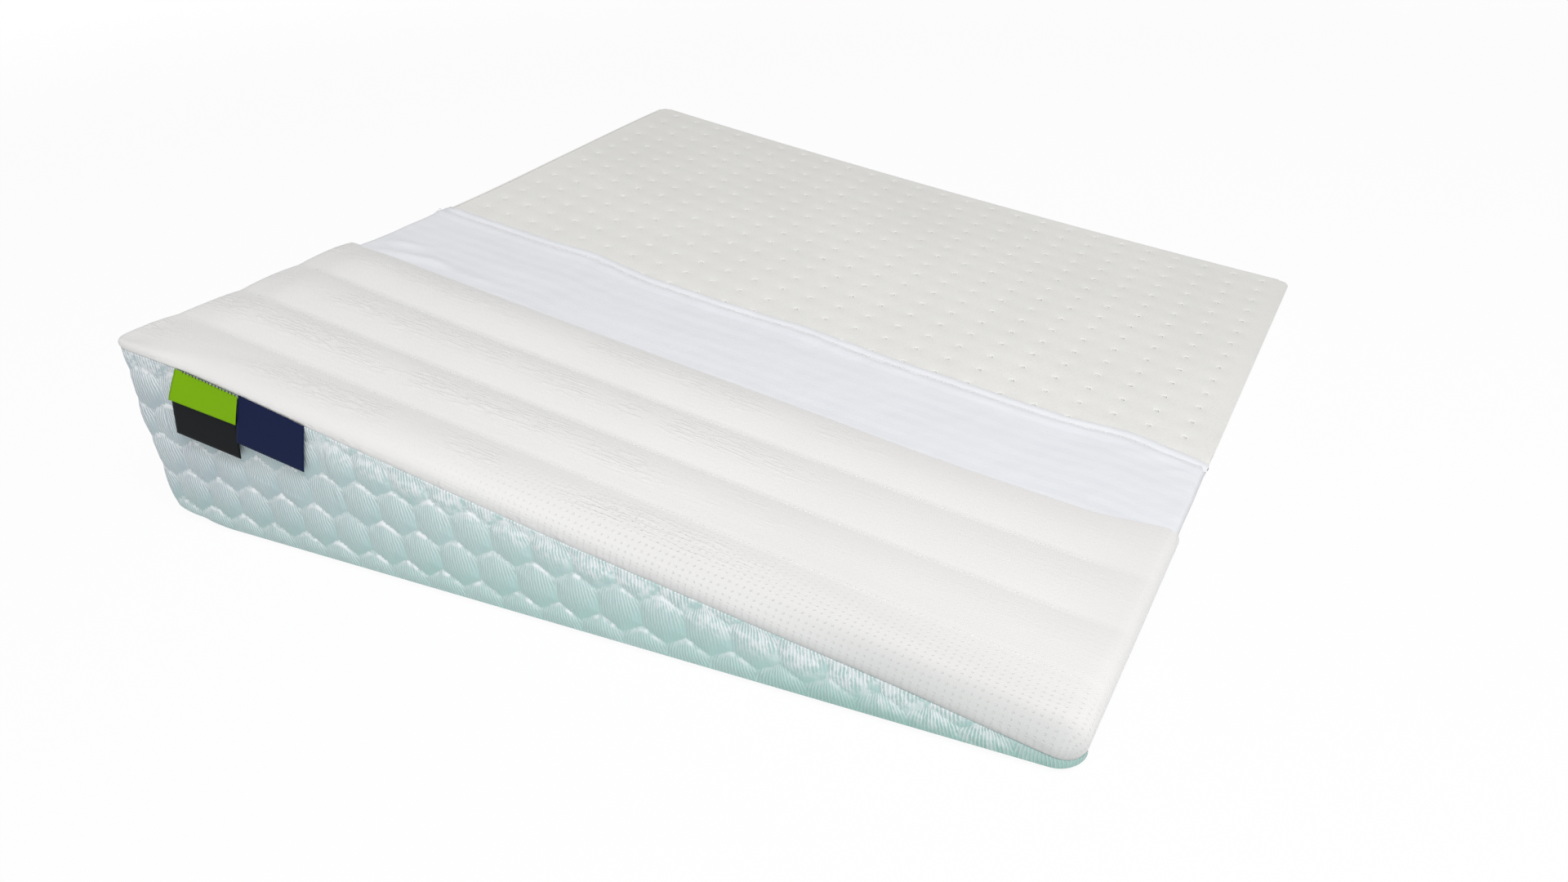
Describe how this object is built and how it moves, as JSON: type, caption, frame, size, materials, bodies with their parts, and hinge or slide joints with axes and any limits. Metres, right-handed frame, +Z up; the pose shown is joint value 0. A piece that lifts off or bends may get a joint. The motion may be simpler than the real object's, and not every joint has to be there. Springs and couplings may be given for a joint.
{
  "type": "foam wedge mattress",
  "caption": "Wedge-shaped foam mattress shown cut away: quilted knit cover with a mesh border, zip and seam labels, a striped cotton liner and a pin-holed foam core.",
  "frame": {"origin": "middle of the footprint, on the surface that the wedge lies on", "axes": "+X from the tall end to the thin end, +Y from the covered front to the bare back, +Z up"},
  "size_m": [0.7232, 0.7518, 0.1551],
  "materials": {
    "foam": "matte",
    "liner_cotton": "matte",
    "knit": "matte",
    "wadding": "matte",
    "scrim": "matte",
    "spacer_mesh": "matte",
    "thread": "matte",
    "zip_tape": "matte",
    "zip_coil": "satin",
    "zip_metal": "satin",
    "label_black": "satin",
    "label_green": "satin",
    "label_navy": "satin"
  },
  "bodies": {
    "core": {"foam_core": "foam"},
    "liner": {"liner_top": "liner_cotton", "liner_base": "liner_cotton", "liner_front_gusset": "liner_cotton", "liner_tall_gusset": "liner_cotton", "liner_thin_gusset": "liner_cotton", "liner_hem_top": "liner_cotton", "liner_hem_base": "liner_cotton", "liner_hem_tall": "liner_cotton", "liner_hem_thin": "liner_cotton", "hem_stitching": "thread"},
    "cover": {"top_panel_knit": "knit", "top_panel_wadding": "wadding", "top_panel_scrim": "scrim", "quilting_threads": "thread", "border_front": "spacer_mesh", "border_thin": "spacer_mesh", "border_tall_upper": "spacer_mesh", "border_tall_lower": "spacer_mesh", "base_panel": "spacer_mesh", "zip_tape_upper": "zip_tape", "zip_tape_lower": "zip_tape", "zip_coil_upper": "zip_coil", "zip_coil_lower": "zip_coil", "zip_end_stop": "zip_metal"},
    "slider": {"zip_slider": "zip_metal"},
    "pull": {"zip_pull_tab": "zip_metal"},
    "black_label": {"label_black": "label_black"},
    "green_label": {"label_green": "label_green"},
    "navy_label": {"label_navy": "label_navy"}
  },
  "joints": [
    {"name": "liner_draw_off", "type": "slide", "parent": "core", "child": "liner", "axis": [0, -1, 0], "range_m": [0, 0.36]},
    {"name": "cover_draw_off", "type": "slide", "parent": "liner", "child": "cover", "axis": [0, -1, 0], "range_m": [0, 0.25]},
    {"name": "zip_run", "type": "slide", "parent": "cover", "child": "slider", "axis": [0, 1, 0], "range_m": [0, 0.19]},
    {"name": "pull_swing", "type": "hinge", "parent": "slider", "child": "pull", "pos_m": [-0.36145, -0.345, 0.04], "axis": [0, 0, 1], "range_deg": [0, 170]},
    {"name": "black_label_swing", "type": "hinge", "parent": "cover", "child": "black_label", "pos_m": [-0.304, -0.3756, 0.13627], "axis": [-0.9821, 0, 0.1882], "range_deg": [0, 90]},
    {"name": "green_label_swing", "type": "hinge", "parent": "black_label", "child": "green_label", "pos_m": [-0.305, -0.3765, 0.13646], "axis": [-0.9821, 0, 0.1882], "range_deg": [0, 60]},
    {"name": "navy_label_swing", "type": "hinge", "parent": "cover", "child": "navy_label", "pos_m": [-0.244, -0.3756, 0.12477], "axis": [-0.9821, 0, 0.1882], "range_deg": [0, 120]}
  ]
}
